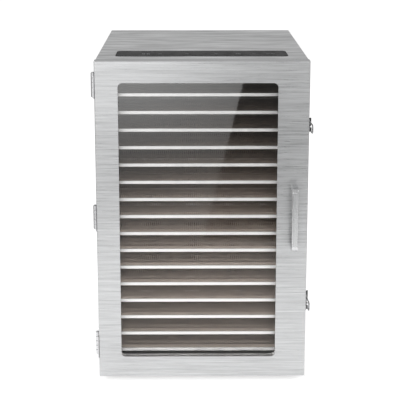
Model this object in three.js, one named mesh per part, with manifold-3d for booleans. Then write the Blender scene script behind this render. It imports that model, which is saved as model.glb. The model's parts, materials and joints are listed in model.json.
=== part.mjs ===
// Cabinet food dehydrator: sixteen wire trays behind a glazed, side-hinged door.
// Millimetres, +Z up, +X to the right, and the door faces -Y.
// The origin lies on the ground, under the middle of the overall box.

import * as THREE from 'three';
import { mergeVertices } from 'three/addons/utils/BufferGeometryUtils.js';
import Module from 'manifold-3d';

const wasm = await Module();
wasm.setup();

// ---------------------------------------------------------------- driving dimensions
const BODY_W = 430;
const BODY_D = 520;
const BODY_H = 672;
const DOOR_W = 434;
const DOOR_T = 25;
const SEAM = 3; // between the cabinet front and the back of the door
const HANDLE_OUT = 35;
const FOOT_H = 12;
const SHEET = 0.8; // stainless sheet
const GAP = 0.3; // between neighbouring pieces

const TRAY_COUNT = 16;
const TRAY_PITCH = 36.75;
const TRAY_TOP_Z = 612.6; // upper face of the highest tray
const TRAY_W = 390;
const TRAY_D = 388;
const TRAY_RIM = 7;
const TRAY_WIRE = 2; // thickness of the rim
const TRAY_SCREEN = 0.4; // thickness that stands for the wire screen
const TRAY_SET_BACK = 10; // tray front behind the cabinet front

const CHAMBER_HALF_W = 200;
const CHAMBER_FLOOR_Z = 24;
const CHAMBER_TOP_Z = 651;
const BAFFLE_DEPTH = 411; // cabinet front to the perforated wall
const PLENUM_DEPTH = 470; // cabinet front to the wall that carries the motor

const WINDOW = { left: -169.5, right: 153.5, bottom: 56.5, top: 639, radius: 9 };
const GLASS_T = 4;

const PANEL = { width: 356, depth: 86, radius: 10, setBack: 39, proud: 0.6, thickness: 3 };

const HANDLE = { x: 189, z: 361.5, length: 134, width: 13, thickness: 6 };

const HINGE_Z = [78, 354.5, 631.8];
const HINGE = { length: 50, barrel: 4, pin: 1.8, bore: 2.1, leaf: 24, thickness: 1.5, knuckles: 5 };

const LATCH_Z = [162, 542];
const LATCH = { arm: 14, wire: 1.5, reach: 54, armZ: 8.5, flare: 3, pin: 1.5, bore: 1.75 };

const FAN = { radius: 96, hub: 24, blades: 6, shaft: 4, depth: 22, pitch: 20 };
const MOTOR = { radius: 36, length: 34 };
const HEATER = { radius: 118, tube: 4, leadX: 16 };
const INLET = { x: 150, z: 60 };

// ---------------------------------------------------------------- derived planes
const DEPTH = BODY_D + SEAM + DOOR_T + HANDLE_OUT;
const BACK_Y = DEPTH / 2;
const FRONT_Y = BACK_Y - BODY_D;
const DOOR_BACK_Y = FRONT_Y - SEAM;
const DOOR_FRONT_Y = DOOR_BACK_Y - DOOR_T;
const BASE_Z = FOOT_H;
const TOP_Z = FOOT_H + BODY_H;
const SIDE_X = BODY_W / 2;
const DOOR_X = DOOR_W / 2;
const HINGE_X = -DOOR_X - GAP / 2 - HINGE.barrel - 0.35;
const HINGE_Y = FRONT_Y - SEAM / 2;
const BAFFLE_Y = FRONT_Y + BAFFLE_DEPTH;
const PLENUM_Y = FRONT_Y + PLENUM_DEPTH;
const FAN_Z = (CHAMBER_FLOOR_Z + CHAMBER_TOP_Z) / 2;
const TRAY_FRONT_Y = FRONT_Y + TRAY_SET_BACK;
const PROBE = { x: 60, z: CHAMBER_TOP_Z - 18 };
const FAN_Y = BAFFLE_Y + 25;
const HEATER_Y = BAFFLE_Y + 20;
const MOTOR_Y = PLENUM_Y + SHEET + 2;
const SHAFT_END_Y = PLENUM_Y + 20;
const SEAL_Y = DOOR_FRONT_Y + SHEET + GAP;
const SEAL_T = 1.8;
const GLASS_Y = SEAL_Y + SEAL_T + GAP;

const trayBottom = (level) => TRAY_TOP_Z - TRAY_RIM - level * TRAY_PITCH;

// ---------------------------------------------------------------- materials
const finish = (color, roughness, metalness) =>
  new THREE.MeshStandardMaterial({ color, roughness, metalness });
const brushedSteel = finish(0xb9bbbd, 0.38, 1.0);
const linerSteel = finish(0x8a8a88, 0.45, 1.0);
const polishedSteel = finish(0xd6d8da, 0.15, 1.0);
const wireSteel = finish(0xe4e4e0, 0.3, 1.0);
const clearGlass = finish(0xdfe8e6, 0.05, 0.0);
const blackGlass = finish(0x202224, 0.12, 0.0);
const blackRubber = finish(0x191919, 0.8, 0.0);
const greyRubber = finish(0x5a5a58, 0.75, 0.0);
const blackPlastic = finish(0x161616, 0.5, 0.0);
const boardGreen = finish(0x1f5a3a, 0.5, 0.0);
const motorSteel = finish(0x77797c, 0.4, 1.0);
const heaterSteel = finish(0x6a5f58, 0.5, 1.0);

// ---------------------------------------------------------------- solids
function toSolid(geometry) {
  const bare = geometry.clone();
  bare.deleteAttribute('normal');
  bare.deleteAttribute('uv');
  const merged = mergeVertices(bare, 1e-4);
  return new wasm.Manifold(new wasm.Mesh({
    numProp: 3,
    vertProperties: new Float32Array(merged.attributes.position.array),
    triVerts: new Uint32Array(merged.index.array),
  }));
}

function toGeometry(solid) {
  const mesh = solid.getMesh();
  const geometry = new THREE.BufferGeometry();
  geometry.setAttribute('position', new THREE.BufferAttribute(mesh.vertProperties, 3));
  geometry.setIndex(new THREE.BufferAttribute(mesh.triVerts, 1));
  geometry.computeVertexNormals();
  return geometry;
}

const join = (...solids) => solids.reduce((whole, solid) => whole.add(solid));
const cut = (solid, ...tools) => tools.reduce((rest, tool) => rest.subtract(tool), solid);

function block([x0, x1], [y0, y1], [z0, z1]) {
  const geometry = new THREE.BoxGeometry(x1 - x0, y1 - y0, z1 - z0);
  return toSolid(geometry.translate((x0 + x1) / 2, (y0 + y1) / 2, (z0 + z1) / 2));
}

const AXIS_TURN = {
  x: (geometry) => geometry.rotateZ(-Math.PI / 2),
  y: (geometry) => geometry,
  z: (geometry) => geometry.rotateX(Math.PI / 2),
};

function rod(axis, radius, length, [x, y, z], sides = 16) {
  const geometry = new THREE.CylinderGeometry(radius, radius, length, sides);
  return toSolid(AXIS_TURN[axis](geometry).translate(x, y, z));
}

function roundedRect(x0, x1, y0, y1, radius) {
  const shape = new THREE.Shape();
  shape.moveTo(x0 + radius, y0);
  shape.lineTo(x1 - radius, y0);
  shape.absarc(x1 - radius, y0 + radius, radius, -Math.PI / 2, 0, false);
  shape.lineTo(x1, y1 - radius);
  shape.absarc(x1 - radius, y1 - radius, radius, 0, Math.PI / 2, false);
  shape.lineTo(x0 + radius, y1);
  shape.absarc(x0 + radius, y1 - radius, radius, Math.PI / 2, Math.PI, false);
  shape.lineTo(x0, y0 + radius);
  shape.absarc(x0 + radius, y0 + radius, radius, Math.PI, 1.5 * Math.PI, false);
  return shape;
}

// A shape drawn in X and Z, as seen from the front, filling y0 to y1.
function frontPrism(shape, y0, y1, curveSegments = 4) {
  const geometry = new THREE.ExtrudeGeometry(shape, { depth: y1 - y0, bevelEnabled: false, curveSegments });
  return toSolid(geometry.rotateX(Math.PI / 2).translate(0, y1, 0));
}

// A shape drawn in X and Y, as seen from above, filling z0 to z1.
function planPrism(shape, z0, z1, curveSegments = 4) {
  const geometry = new THREE.ExtrudeGeometry(shape, { depth: z1 - z0, bevelEnabled: false, curveSegments });
  return toSolid(geometry.translate(0, 0, z0));
}

const windowShape = (grow) => roundedRect(
  WINDOW.left - grow, WINDOW.right + grow, WINDOW.bottom - grow, WINDOW.top + grow, WINDOW.radius + grow);

// Straight runs between the corners, with each inner corner rounded off.
function roundedPath(corners, radius) {
  const path = new THREE.CurvePath();
  let start = corners[0];
  for (let index = 1; index < corners.length - 1; index += 1) {
    const corner = corners[index];
    const before = corner.clone().add(corners[index - 1].clone().sub(corner).setLength(radius));
    const after = corner.clone().add(corners[index + 1].clone().sub(corner).setLength(radius));
    path.add(new THREE.LineCurve3(start, before));
    path.add(new THREE.QuadraticBezierCurve3(before, corner, after));
    start = after;
  }
  path.add(new THREE.LineCurve3(start, corners[corners.length - 1]));
  return path;
}

// ---------------------------------------------------------------- scene graph helpers
const dehydrator = new THREE.Group();
const cabinet = new THREE.Group();
const door = new THREE.Group();
const trays = new THREE.Group();
dehydrator.add(cabinet, door, trays);

function place(group, name, solid, material, position = [0, 0, 0]) {
  const mesh = new THREE.Mesh(toGeometry(solid), material);
  mesh.name = name;
  mesh.position.set(...position);
  group.add(mesh);
  return mesh;
}

// ---------------------------------------------------------------- cabinet shell
function sidePanel(side) {
  const outer = side * SIDE_X;
  const inner = side * (SIDE_X - SHEET);
  const flange = side * (SIDE_X - 14);
  const span = (a, b) => [Math.min(a, b), Math.max(a, b)];
  const y0 = FRONT_Y + SHEET + GAP;
  const y1 = BACK_Y - SHEET - GAP;
  const z = [BASE_Z, TOP_Z - SHEET - GAP];
  const web = block(span(outer, inner), [y0, y1], z);
  const rearFlange = block(span(outer, flange), [y1 - SHEET, y1], z);
  return join(web, rearFlange);
}

function frontFrame() {
  const lipDepth = 9;
  const plate = block([-SIDE_X, SIDE_X], [FRONT_Y, FRONT_Y + SHEET], [BASE_Z, TOP_Z]);
  const lip = block(
    [-CHAMBER_HALF_W - SHEET, CHAMBER_HALF_W + SHEET], [FRONT_Y, FRONT_Y + lipDepth],
    [CHAMBER_FLOOR_Z - SHEET, CHAMBER_TOP_Z + SHEET]);
  const mouth = block(
    [-CHAMBER_HALF_W, CHAMBER_HALF_W], [FRONT_Y - 5, FRONT_Y + 20], [CHAMBER_FLOOR_Z, CHAMBER_TOP_Z]);
  return cut(join(plate, lip), mouth);
}

function topPanel() {
  const y0 = FRONT_Y + SHEET + GAP;
  const inset = SIDE_X - SHEET - GAP;
  const sheet = block([-SIDE_X, SIDE_X], [y0, BACK_Y], [TOP_Z - SHEET, TOP_Z]);
  const rearFlange = block([-CHAMBER_HALF_W, CHAMBER_HALF_W],
    [BACK_Y - 2 * SHEET - GAP, BACK_Y - SHEET - GAP], [TOP_Z - 14, TOP_Z]);
  const frontFlange = block([-inset, inset], [y0, y0 + SHEET], [TOP_Z - 14, TOP_Z]);
  const panelY = FRONT_Y + PANEL.setBack;
  const opening = roundedRect(-PANEL.width / 2 - GAP, PANEL.width / 2 + GAP,
    panelY - GAP, panelY + PANEL.depth + GAP, PANEL.radius + GAP);
  return cut(join(sheet, rearFlange, frontFlange), planPrism(opening, TOP_Z - 5, TOP_Z + 5));
}

function controlGlass() {
  const y = FRONT_Y + PANEL.setBack;
  const shape = roundedRect(-PANEL.width / 2, PANEL.width / 2, y, y + PANEL.depth, PANEL.radius);
  return planPrism(shape, TOP_Z + PANEL.proud - PANEL.thickness, TOP_Z + PANEL.proud);
}

function controlBoard() {
  const y = FRONT_Y + PANEL.setBack;
  const z = TOP_Z - 12;
  const board = block([-155, 155], [y + 10, y + PANEL.depth - 10], [z, z + 1.6]);
  const display = block([-135, -95], [y + 24, y + 54], [z + 1, z + 8]);
  const relay = block([90, 112], [y + 24, y + 44], [z + 1, z + 8]);
  const keys = [-40, 20, 60, 138].map((x) => rod('z', 5, 7, [x, y + 40, z + 4.5], 12));
  return join(board, display, relay, ...keys);
}

function backPanel() {
  const z1 = TOP_Z - SHEET - GAP;
  const sheet = block([-SIDE_X, SIDE_X], [BACK_Y - SHEET, BACK_Y], [BASE_Z, z1]);
  const slots = [];
  for (let row = 0; row < 12; row += 1) {
    const z = FAN_Z - 66 + 12 * row;
    for (const x of [-72, 8]) {
      slots.push(block([x, x + 64], [BACK_Y - 5, BACK_Y + 5], [z - 2.5, z + 2.5]));
    }
  }
  for (let row = 0; row < 4; row += 1) {
    const z = TOP_Z - 60 + 12 * row;
    for (const x of [-150, 70]) {
      slots.push(block([x, x + 80], [BACK_Y - 5, BACK_Y + 5], [z - 2.5, z + 2.5]));
    }
  }
  const inlet = block([INLET.x - 14.5, INLET.x + 14.5], [BACK_Y - 5, BACK_Y + 5],
    [INLET.z - 10.5, INLET.z + 10.5]);
  return cut(sheet, ...slots, inlet);
}

function basePan() {
  const x = SIDE_X - SHEET - GAP;
  const y = [FRONT_Y + SHEET + GAP, BACK_Y - 2 * SHEET - 2 * GAP];
  const floor = block([-x, x], y, [BASE_Z, BASE_Z + SHEET]);
  const edge = 10;
  const frontUpstand = block([-x, x], [y[0], y[0] + SHEET], [BASE_Z, BASE_Z + edge]);
  const ribs = [-120, 120].map((rib) => block([rib - 8, rib + 8], [FRONT_Y + 20, FRONT_Y + 390],
    [BASE_Z, CHAMBER_FLOOR_Z]));
  const sideUpstands = [-1, 1].map((side) => block(
    [Math.min(side * x, side * (x - SHEET)), Math.max(side * x, side * (x - SHEET))], y,
    [BASE_Z, BASE_Z + edge]));
  return join(floor, frontUpstand, ...ribs, ...sideUpstands);
}

function foot() {
  const profile = [[0, 0], [13, 0], [15, 2], [17, FOOT_H - GAP - 1], [16, FOOT_H - GAP], [0, FOOT_H - GAP]];
  const points = profile.map(([radius, height]) => new THREE.Vector2(radius, height));
  return toSolid(new THREE.LatheGeometry(points, 20).rotateX(Math.PI / 2));
}

// ---------------------------------------------------------------- drying chamber
function trayRack(side) {
  const outer = CHAMBER_HALF_W - GAP;
  const wall = outer - SHEET;
  const ledge = wall - 14;
  const outline = new THREE.Shape();
  const zBottom = CHAMBER_FLOOR_Z + GAP;
  const zTop = CHAMBER_TOP_Z - GAP;
  outline.moveTo(side * outer, zBottom);
  outline.lineTo(side * outer, zTop);
  outline.lineTo(side * wall, zTop);
  for (let level = 0; level < TRAY_COUNT; level += 1) {
    const top = trayBottom(level) - GAP;
    outline.lineTo(side * wall, top);
    outline.lineTo(side * ledge, top);
    outline.lineTo(side * ledge, top - SHEET);
    outline.lineTo(side * wall, top - SHEET);
  }
  outline.lineTo(side * wall, zBottom);
  return frontPrism(outline, TRAY_FRONT_Y, BAFFLE_Y - GAP);
}

function tray() {
  const half = TRAY_W / 2;
  const rim = block([-half, half], [0, TRAY_D], [0, TRAY_RIM]);
  const inside = block([-half + TRAY_WIRE, half - TRAY_WIRE], [TRAY_WIRE, TRAY_D - TRAY_WIRE],
    [-1, TRAY_RIM - TRAY_SCREEN]);
  return cut(rim, inside);
}

function dripTray() {
  const half = TRAY_W / 2;
  const height = 11;
  const sheet = 1;
  const pan = block([-half, half], [0, TRAY_D], [0, height]);
  const inside = block([-half + sheet, half - sheet], [sheet, TRAY_D - sheet], [sheet, height + sheet]);
  return cut(pan, inside);
}

function airBaffle() {
  const half = CHAMBER_HALF_W - GAP;
  const wall = block([-half, half], [BAFFLE_Y, BAFFLE_Y + SHEET],
    [CHAMBER_FLOOR_Z + GAP, CHAMBER_TOP_Z - GAP]);
  const slots = [];
  for (let level = 0; level < TRAY_COUNT; level += 1) {
    const z = trayBottom(level) + TRAY_RIM + 8;
    for (const x of [-150, -45, 60]) {
      slots.push(block([x, x + 90], [BAFFLE_Y - 5, BAFFLE_Y + 5], [z, z + 6]));
    }
  }
  const probeHole = rod('y', 3.6, 20, [PROBE.x, BAFFLE_Y, PROBE.z], 12);
  return cut(wall, ...slots, probeHole);
}

function ceilingLiner() {
  const half = SIDE_X - SHEET - GAP;
  return block([-half, half], [FRONT_Y + SHEET + GAP + 10, PLENUM_Y - GAP],
    [CHAMBER_TOP_Z + SHEET + GAP, CHAMBER_TOP_Z + 2 * SHEET + GAP]);
}

function plenumWall() {
  const half = SIDE_X - SHEET - GAP;
  const wall = block([-half, half], [PLENUM_Y, PLENUM_Y + SHEET],
    [CHAMBER_FLOOR_Z, CHAMBER_TOP_Z + 2 * SHEET + GAP]);
  const shaftHole = rod('y', 8, 20, [0, PLENUM_Y, FAN_Z], 16);
  const intakes = [];
  for (const x of [-1, 1]) {
    for (const z of [-1, 1]) {
      intakes.push(block([x * 70 - 18, x * 70 + 18], [PLENUM_Y - 5, PLENUM_Y + 5],
        [FAN_Z + z * 40 - 10, FAN_Z + z * 40 + 10]));
    }
  }
  const leads = [-1, 1].map((side) => rod('y', HEATER.tube + 1.5, 20,
    [side * HEATER.leadX, PLENUM_Y, FAN_Z - HEATER.radius], 12));
  return cut(wall, shaftHole, ...intakes, ...leads);
}

function temperatureProbe() {
  const tip = rod('y', 3, 34, [0, -10, 0], 12);
  const collar = rod('y', 6, 3, [0, SHEET + GAP + 1.5, 0], 12);
  return join(tip, collar);
}

// ---------------------------------------------------------------- fan, motor and heater
function fanWheel() {
  const hub = rod('y', FAN.hub, FAN.depth, [0, 0, 0], 24);
  const shaftLength = SHAFT_END_Y - FAN_Y;
  const shaft = rod('y', FAN.shaft, shaftLength, [0, shaftLength / 2, 0], 16);
  const blades = [];
  for (let index = 0; index < FAN.blades; index += 1) {
    const outline = new THREE.Shape();
    outline.moveTo(-14, FAN.hub - 6);
    outline.lineTo(14, FAN.hub - 6);
    outline.lineTo(27, FAN.radius - 12);
    outline.quadraticCurveTo(20, FAN.radius, 4, FAN.radius);
    outline.lineTo(-20, FAN.radius - 6);
    const blade = new THREE.ExtrudeGeometry(outline, { depth: 1.6, bevelEnabled: false, curveSegments: 4 });
    blade.translate(0, 0, -0.8).rotateX(Math.PI / 2);
    blade.rotateZ(THREE.MathUtils.degToRad(FAN.pitch)).rotateY((index / FAN.blades) * 2 * Math.PI);
    blades.push(toSolid(blade));
  }
  return join(hub, shaft, ...blades);
}

function fanMotor() {
  const can = rod('y', MOTOR.radius, MOTOR.length, [0, MOTOR.length / 2, 0], 24);
  const bore = rod('y', FAN.shaft + 0.5, 60, [0, 0, 0], 16);
  const stator = block([-30, 30], [8, 24], [-44, 44]);
  return cut(join(can, stator), bore);
}

function motorBracket() {
  const back = MOTOR_Y + MOTOR.length + GAP;
  const front = PLENUM_Y + SHEET + GAP;
  const strap = block([-62, 62], [back, back + 1.6], [-11, 11]);
  const legs = [-1, 1].map((side) => block([side * 61 - 1, side * 61 + 1], [front, back + 1.6], [-11, 11]));
  const tabs = [-1, 1].map((side) => block([side * 68 - 8, side * 68 + 8], [front, front + 1.6], [-11, 11]));
  return join(strap, ...legs, ...tabs);
}

class HeaterPath extends THREE.Curve {
  getPoint(t, target = new THREE.Vector3()) {
    const lead = PLENUM_Y + 16 - HEATER_Y;
    const gapAngle = Math.asin(HEATER.leadX / HEATER.radius);
    const arc = 2 * Math.PI - 2 * gapAngle;
    const total = arc * HEATER.radius + 2 * lead;
    const along = t * total;
    if (along < lead) return target.set(HEATER.leadX, lead - along, -HEATER.radius);
    if (along > total - lead) {
      return target.set(-HEATER.leadX, along - (total - lead), -HEATER.radius);
    }
    const angle = gapAngle + (along - lead) / HEATER.radius;
    return target.set(HEATER.radius * Math.sin(angle), 0, -HEATER.radius * Math.cos(angle));
  }
}

function ring(radius, sides) {
  const shape = new THREE.Shape();
  for (let index = 0; index < sides; index += 1) {
    const angle = (index / sides) * 2 * Math.PI;
    const point = [radius * Math.cos(angle), radius * Math.sin(angle)];
    if (index === 0) shape.moveTo(...point);
    else shape.lineTo(...point);
  }
  return shape;
}

function heater() {
  const geometry = new THREE.ExtrudeGeometry(ring(HEATER.tube, 8),
    { steps: 48, bevelEnabled: false, extrudePath: new HeaterPath() });
  return toSolid(geometry);
}

function powerInlet() {
  const flange = block([-25, 25], [GAP, 2.5], [-12, 12]);
  const neck = block([-14, 14], [-22, 1], [-10, 10]);
  const recess = block([-12, 12], [-18, 5], [-8, 8]);
  const pins = [-7, 0, 7].map((x, index) => block([x - 1, x + 1], [-21, -4],
    index === 1 ? [1.5, 5.5] : [-4.5, -0.5]));
  return join(cut(join(flange, neck), recess), ...pins);
}

// ---------------------------------------------------------------- door
function doorPanel() {
  const outer = block([-DOOR_X, DOOR_X], [DOOR_FRONT_Y, DOOR_BACK_Y], [BASE_Z, TOP_Z]);
  const inside = block([-DOOR_X + SHEET, DOOR_X - SHEET], [DOOR_FRONT_Y + SHEET, DOOR_BACK_Y + 5],
    [BASE_Z + SHEET, TOP_Z - SHEET]);
  const aperture = frontPrism(windowShape(0), DOOR_FRONT_Y - 5, DOOR_FRONT_Y + 5);
  return cut(outer, inside, aperture);
}

function windowSeal() {
  return cut(frontPrism(windowShape(11), SEAL_Y, SEAL_Y + SEAL_T),
    frontPrism(windowShape(1), SEAL_Y - 5, SEAL_Y + 5));
}

function doorGlass() {
  return frontPrism(windowShape(12), GLASS_Y, GLASS_Y + GLASS_T);
}

function doorInnerFrame() {
  const inset = SHEET + GAP;
  const plate = block([-DOOR_X + inset, DOOR_X - inset], [DOOR_BACK_Y - SHEET, DOOR_BACK_Y],
    [BASE_Z + inset, TOP_Z - inset]);
  const collar = frontPrism(windowShape(3 + SHEET), GLASS_Y + GLASS_T + GAP, DOOR_BACK_Y - SHEET / 2);
  const aperture = frontPrism(windowShape(3), GLASS_Y, DOOR_BACK_Y + 5);
  return cut(join(plate, collar), aperture);
}

function doorGasket() {
  const y = [DOOR_BACK_Y + GAP, FRONT_Y - GAP];
  const zMid = [CHAMBER_FLOOR_Z - 9, CHAMBER_TOP_Z + 9];
  const outer = roundedRect(-CHAMBER_HALF_W - 9, CHAMBER_HALF_W + 9, zMid[0], zMid[1], 10);
  const inner = roundedRect(-CHAMBER_HALF_W - 1, CHAMBER_HALF_W + 1, zMid[0] + 8, zMid[1] - 8, 3);
  return cut(frontPrism(outer, y[0], y[1]), frontPrism(inner, y[0] - 5, y[1] + 5));
}

function doorHandle() {
  const rise = HANDLE_OUT - HANDLE.thickness / 2;
  const reach = HANDLE.length / 2 - HANDLE.thickness / 2;
  const bend = 10;
  const at = (y, z) => new THREE.Vector3(0, y, z);
  const corners = [at(-GAP, -reach), at(-rise, -reach), at(-rise, reach), at(-GAP, reach)];
  const path = roundedPath(corners, bend);
  const half = [HANDLE.thickness / 2, HANDLE.width / 2]; // the extrusion turns its section's second side to X
  const section = roundedRect(-half[0], half[0], -half[1], half[1], 2);
  return toSolid(new THREE.ExtrudeGeometry(section,
    { steps: 32, bevelEnabled: false, extrudePath: path, curveSegments: 1 }));
}

// ---------------------------------------------------------------- hinges
// Both leaves are drawn about the hinge pin. The door leaf lies ahead of it, the cabinet leaf behind.
function hingeLeaf(isDoor) {
  const direction = isDoor ? -1 : 1;
  const plateX = (isDoor ? -DOOR_X : -SIDE_X) - GAP - HINGE_X;
  const plateNear = HINGE.barrel + GAP;
  const span = (a, b) => [Math.min(direction * a, direction * b), Math.max(direction * a, direction * b)];
  const half = HINGE.length / 2;
  const knuckle = HINGE.length / HINGE.knuckles;
  const plate = [plateX - HINGE.thickness, plateX];
  const solids = [block(plate, span(plateNear, plateNear + HINGE.leaf), [-half, half])];
  for (let index = isDoor ? 1 : 0; index < HINGE.knuckles; index += 2) {
    const z0 = -half + index * knuckle + (index === 0 ? 0 : GAP / 2);
    const z1 = -half + (index + 1) * knuckle - (index === HINGE.knuckles - 1 ? 0 : GAP / 2);
    solids.push(rod('z', HINGE.barrel, z1 - z0, [0, 0, (z0 + z1) / 2], 16));
    solids.push(block([0, plateX], span(HINGE.barrel - 1.8, HINGE.barrel), [z0, z1]));
    solids.push(block(plate, span(HINGE.barrel - 1.8, plateNear + 1), [z0, z1]));
  }
  const leaf = join(...solids);
  if (isDoor) return cut(leaf, rod('z', HINGE.bore, HINGE.length + 10, [0, 0, 0], 16));
  return join(leaf, rod('z', HINGE.pin, HINGE.length + 3, [0, 0, 0], 12));
}

// ---------------------------------------------------------------- toggle latches
// Drawn about the lever's pivot, with X out of the cabinet side and Y towards the back.
const PIVOT = { x: SIDE_X + 7, y: FRONT_Y + 22.5 };
const LATCH_PLATE_X = SIDE_X + GAP - PIVOT.x;

function latchBase() {
  const outer = LATCH_PLATE_X + 1.5;
  const plate = block([LATCH_PLATE_X, outer], [-16, 44], [-13, 13]);
  const ears = [-1, 1].map((side) => {
    const z = [side * 5.25 - 0.75, side * 5.25 + 0.75];
    return join(block([LATCH_PLATE_X, 0], [-4.5, 4.5], z), rod('z', 4.5, 1.5, [0, 0, side * 5.25], 16));
  });
  const bore = rod('z', LATCH.bore, 20, [0, 0, 0], 16);
  const screwHoles = [-11.5, 38].map((y) => rod('x', 2, 10, [LATCH_PLATE_X, y, 0], 12));
  return cut(join(plate, cut(join(...ears), bore)), ...screwHoles);
}

function latchLever() {
  const arm = block([-1.8, 1.8], [-2, 22], [-4, 4]);
  const nose = rod('z', 3, 8, [0, 0, 0], 16);
  const pivotPin = rod('z', LATCH.pin, 13, [0, 0, 0], 12);
  const wirePin = rod('z', LATCH.pin, 2 * LATCH.armZ + 4, [0, LATCH.arm, 0], 12);
  const grip = block([-0.9, 1.1], [21, 37], [-9, 9]);
  const lip = toSolid(new THREE.BoxGeometry(2, 12, 18).rotateZ(-0.75).translate(3.9, 40.5, 0));
  return join(arm, nose, pivotPin, wirePin, grip, lip);
}

function latchBail() {
  const { arm, reach, armZ, flare, wire } = LATCH;
  const front = arm - reach;
  const at = (x, y, z) => new THREE.Vector3(x, y, z);
  const corners = [at(0, arm, armZ), at(flare, front, armZ), at(flare, front, -armZ), at(0, arm, -armZ)];
  const path = roundedPath(corners, 4);
  const loop = toSolid(new THREE.ExtrudeGeometry(ring(wire, 8),
    { steps: 30, bevelEnabled: false, extrudePath: path }));
  const eyes = [-1, 1].map((side) => rod('z', 3.2, 3, [0, arm, side * armZ], 16));
  const bore = rod('z', LATCH.bore, 30, [0, arm, 0], 16);
  return cut(join(loop, ...eyes), bore);
}

// The hook stands on the door's right edge, just inside the latch wire.
function latchKeeper() {
  const plateX = DOOR_X + GAP - PIVOT.x;
  const wireY = LATCH.arm - LATCH.reach;
  const tip = LATCH.flare - LATCH.wire - 0.5;
  const plate = block([plateX, plateX + 1.5], [wireY - 5, wireY + 10], [-6, 6]);
  const hook = new THREE.Shape();
  hook.moveTo(plateX + 1, wireY + 6);
  hook.lineTo(plateX + 1, wireY - 1);
  hook.lineTo(tip - 1, wireY - 3.5);
  hook.lineTo(tip, wireY - 2.5);
  hook.lineTo(tip, wireY + 0.5);
  return join(plate, planPrism(hook, -4.5, 4.5));
}

// ---------------------------------------------------------------- assembly
place(cabinet, 'side_panel_left', sidePanel(-1), brushedSteel);
place(cabinet, 'side_panel_right', sidePanel(1), brushedSteel);
place(cabinet, 'top_panel', topPanel(), brushedSteel);
place(cabinet, 'back_panel', backPanel(), brushedSteel);
place(cabinet, 'base_pan', basePan(), linerSteel);
place(cabinet, 'front_frame', frontFrame(), brushedSteel);
place(cabinet, 'tray_rack_left', trayRack(-1), linerSteel);
place(cabinet, 'tray_rack_right', trayRack(1), linerSteel);
place(cabinet, 'air_baffle', airBaffle(), linerSteel);
place(cabinet, 'ceiling_liner', ceilingLiner(), linerSteel);
place(cabinet, 'plenum_wall', plenumWall(), linerSteel);
place(cabinet, 'control_panel_glass', controlGlass(), blackGlass);
place(cabinet, 'control_board', controlBoard(), boardGreen);
place(cabinet, 'temperature_probe', temperatureProbe(), polishedSteel, [PROBE.x, BAFFLE_Y, PROBE.z]);
place(cabinet, 'heater_element', heater(), heaterSteel, [0, HEATER_Y, FAN_Z]);
place(cabinet, 'fan_wheel', fanWheel(), linerSteel, [0, FAN_Y, FAN_Z]);
place(cabinet, 'fan_motor', fanMotor(), motorSteel, [0, MOTOR_Y, FAN_Z]);
place(cabinet, 'motor_bracket', motorBracket(), linerSteel, [0, 0, FAN_Z]);
place(cabinet, 'power_inlet', powerInlet(), blackPlastic, [INLET.x, BACK_Y, INLET.z]);

const footX = SIDE_X - 40;
const footSpots = {
  foot_front_left: [-footX, FRONT_Y + 42],
  foot_front_right: [footX, FRONT_Y + 42],
  foot_rear_left: [-footX, BACK_Y - 42],
  foot_rear_right: [footX, BACK_Y - 42],
};
for (const [name, [x, y]] of Object.entries(footSpots)) {
  place(cabinet, name, foot(), blackRubber, [x, y, 0]);
}

place(door, 'door_panel', doorPanel(), brushedSteel);
place(door, 'door_inner_frame', doorInnerFrame(), linerSteel);
place(door, 'window_seal', windowSeal(), blackRubber);
place(door, 'door_glass', doorGlass(), clearGlass);
place(door, 'door_gasket', doorGasket(), greyRubber);
place(door, 'door_handle', doorHandle(), polishedSteel, [HANDLE.x, DOOR_FRONT_Y, HANDLE.z]);

HINGE_Z.forEach((z, index) => {
  const pin = [HINGE_X, HINGE_Y, z];
  place(cabinet, `hinge_leaf_cabinet_${index + 1}`, hingeLeaf(false), polishedSteel, pin);
  place(door, `hinge_leaf_door_${index + 1}`, hingeLeaf(true), polishedSteel, pin);
});

LATCH_Z.forEach((z, index) => {
  const name = ['lower', 'upper'][index];
  const pivot = [PIVOT.x, PIVOT.y, z];
  place(cabinet, `latch_base_${name}`, latchBase(), polishedSteel, pivot);
  place(cabinet, `latch_lever_${name}`, latchLever(), polishedSteel, pivot);
  place(cabinet, `latch_bail_${name}`, latchBail(), polishedSteel, pivot);
  place(door, `latch_keeper_${name}`, latchKeeper(), polishedSteel, pivot);
});

for (let level = 0; level < TRAY_COUNT; level += 1) {
  const name = `tray_${String(level + 1).padStart(2, '0')}`;
  place(trays, name, tray(), wireSteel, [0, TRAY_FRONT_Y, trayBottom(level)]);
}
place(trays, 'drip_tray', dripTray(), linerSteel, [0, TRAY_FRONT_Y, CHAMBER_FLOOR_Z + GAP]);

export default dehydrator;
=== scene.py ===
"""A cabinet food dehydrator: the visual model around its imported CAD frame. Metres, Z up, door facing -Y."""
import json
import math

import bmesh
import bpy
from mathutils import Matrix, Vector


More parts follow.
